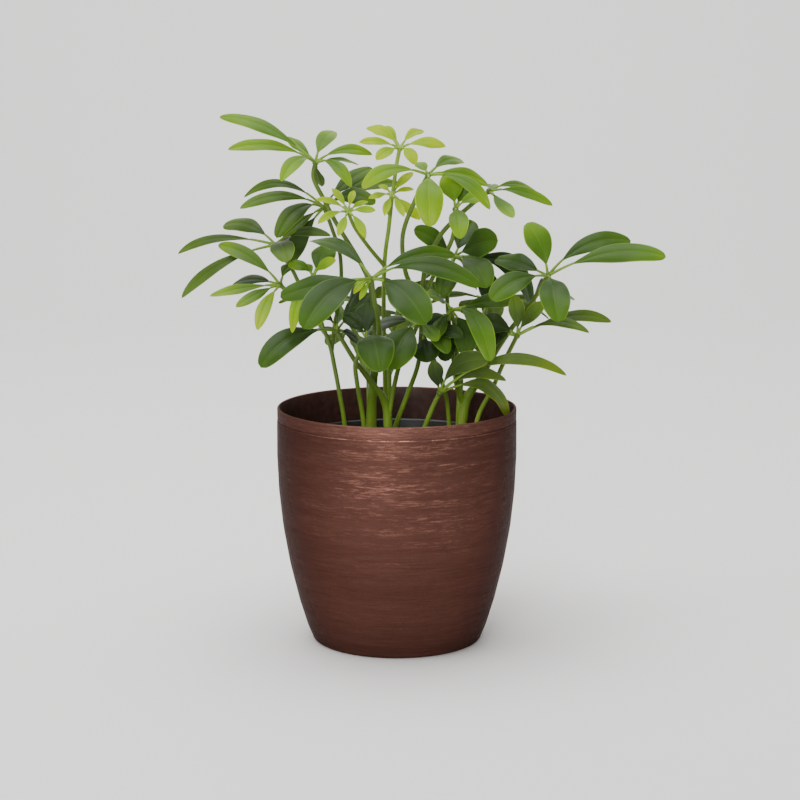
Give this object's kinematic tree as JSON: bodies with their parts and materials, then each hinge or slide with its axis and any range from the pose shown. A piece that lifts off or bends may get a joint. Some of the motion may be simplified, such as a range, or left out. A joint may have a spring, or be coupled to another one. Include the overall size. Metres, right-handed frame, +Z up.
{
  "type": "potted dwarf umbrella tree",
  "caption": "Bushy dwarf umbrella tree with whorls of glossy green leaflets, in a plastic grow pot inside a copper-brown metal cover pot.",
  "frame": {"origin": "centre of the cover pot's flat base, on the surface it stands on", "axes": "+Z up along the pot's axis, -Y towards the front view of the plant, +X to its right"},
  "size_m": [0.2392, 0.1985, 0.2648],
  "materials": {
    "copper_metal": "satin, brushed copper streaks",
    "grow_pot_plastic": "black moulded plastic",
    "potting_soil": "dark crumbly soil",
    "leaf_green": "glossy leaf",
    "leaf_dark": "glossy dark leaf",
    "leaf_lime": "young lime leaf"
  },
  "bodies": {
    "root": {"cover_pot": "copper_metal", "grow_pot": "grow_pot_plastic", "soil": "potting_soil", "stem_left": "leaf_green", "stem_middle": "leaf_green", "stem_right": "leaf_green", "lime_shoot": "leaf_lime", "stem_far_left": "leaf_green", "leaf_front": "leaf_green", "leaf_right_low": "leaf_green", "stem_upper_right": "leaf_green", "leaf_lower_right": "leaf_green", "leaf_dark_middle": "leaf_dark", "stem_rear_left": "leaf_green", "stem_rear_middle": "leaf_green", "stem_rear_right": "leaf_green"}
  },
  "joints": []
}
